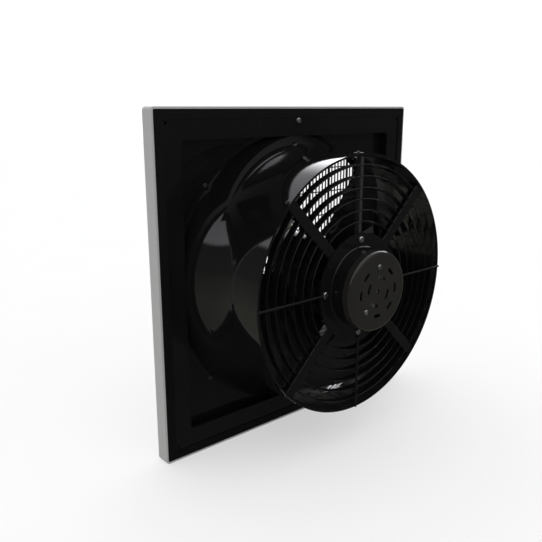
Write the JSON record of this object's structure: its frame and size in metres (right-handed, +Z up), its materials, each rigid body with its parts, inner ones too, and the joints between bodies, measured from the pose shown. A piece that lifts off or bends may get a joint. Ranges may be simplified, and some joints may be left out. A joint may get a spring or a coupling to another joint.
{
  "type": "exhaust hood fan",
  "caption": "Square flush-mounted exhaust hood fan with a wire front grille, bell-mouth ring, sickle-blade impeller, rear wire guard and external-rotor motor.",
  "frame": {"origin": "on the fan axis, in the rear mounting plane shared by the rim's rear edge and the border flange", "axes": "+Y along the fan axis towards the motor side (air outlet), -Y towards the front grille, +Z up, +X to the right seen from the front grille side"},
  "size_m": [0.5, 0.1918, 0.5],
  "materials": {
    "base_panel": "gloss",
    "bearing_balls": "ground",
    "bearing_inner_rings": "ground",
    "bearing_outer_rings": "ground",
    "bearing_tube": "turned",
    "cable_cover": "satin",
    "cable_gland": "matte",
    "cable_grommet": "matte",
    "end_cap_screws": "zinc plated",
    "frame_screws": "zinc plated",
    "frame_spacers": "satin",
    "front_frame": "brushed",
    "front_grille_cross_wires": "satin",
    "front_grille_frame": "satin",
    "front_grille_ribs": "satin",
    "front_grille_screws": "zinc plated",
    "front_grille_wires": "satin",
    "guard_arms": "gloss",
    "guard_centre_plate": "gloss",
    "guard_feet": "gloss",
    "guard_foot_screws": "zinc plated",
    "guard_outer_ring": "gloss",
    "guard_radial_rods": "gloss",
    "guard_rings": "gloss",
    "impeller_blades": "gloss",
    "impeller_hub": "gloss",
    "impeller_hub_screws": "zinc plated",
    "motor_cable": "matte",
    "motor_end_cap": "gloss",
    "motor_mount_screws": "zinc plated",
    "motor_rear_housing": "gloss",
    "motor_shaft": "ground",
    "panel_seal": "matte foam",
    "preload_spring_washer": "spring steel",
    "rotor_bell": "gloss",
    "rotor_cage": "lamination",
    "run_capacitor": "satin",
    "shaft_circlip": "spring steel",
    "stator_core": "lamination",
    "stator_flange": "gloss",
    "stator_windings": "enamelled copper",
    "terminal_block": "satin",
    "venturi_ring": "gloss",
    "venturi_screws": "zinc plated"
  },
  "bodies": {
    "housing": {"base_panel": "base_panel", "bearing_outer_rings": "bearing_outer_rings", "bearing_tube": "bearing_tube", "cable_cover": "cable_cover", "cable_gland": "cable_gland", "cable_grommet": "cable_grommet", "end_cap_screws": "end_cap_screws", "frame_screws": "frame_screws", "frame_spacers": "frame_spacers", "front_frame": "front_frame", "front_grille_cross_wires": "front_grille_cross_wires", "front_grille_frame": "front_grille_frame", "front_grille_ribs": "front_grille_ribs", "front_grille_screws": "front_grille_screws", "front_grille_wires": "front_grille_wires", "guard_arms": "guard_arms", "guard_centre_plate": "guard_centre_plate", "guard_feet": "guard_feet", "guard_foot_screws": "guard_foot_screws", "guard_outer_ring": "guard_outer_ring", "guard_radial_rods": "guard_radial_rods", "guard_rings": "guard_rings", "motor_cable": "motor_cable", "motor_end_cap": "motor_end_cap", "motor_mount_screws": "motor_mount_screws", "motor_rear_housing": "motor_rear_housing", "panel_seal": "panel_seal", "preload_spring_washer": "preload_spring_washer", "run_capacitor": "run_capacitor", "stator_core": "stator_core", "stator_flange": "stator_flange", "stator_windings": "stator_windings", "terminal_block": "terminal_block", "venturi_ring": "venturi_ring", "venturi_screws": "venturi_screws"},
    "rotor": {"rotor_bell": "rotor_bell", "rotor_cage": "rotor_cage", "motor_shaft": "motor_shaft", "shaft_circlip": "shaft_circlip", "bearing_inner_rings": "bearing_inner_rings", "bearing_balls": "bearing_balls", "impeller_hub": "impeller_hub", "impeller_blades": "impeller_blades", "impeller_hub_screws": "impeller_hub_screws"}
  },
  "joints": [
    {"name": "rotor_spin", "type": "hinge", "parent": "housing", "child": "rotor", "pos_m": [0, 0.07, 0], "axis": [0, -1, 0], "continuous": true}
  ]
}
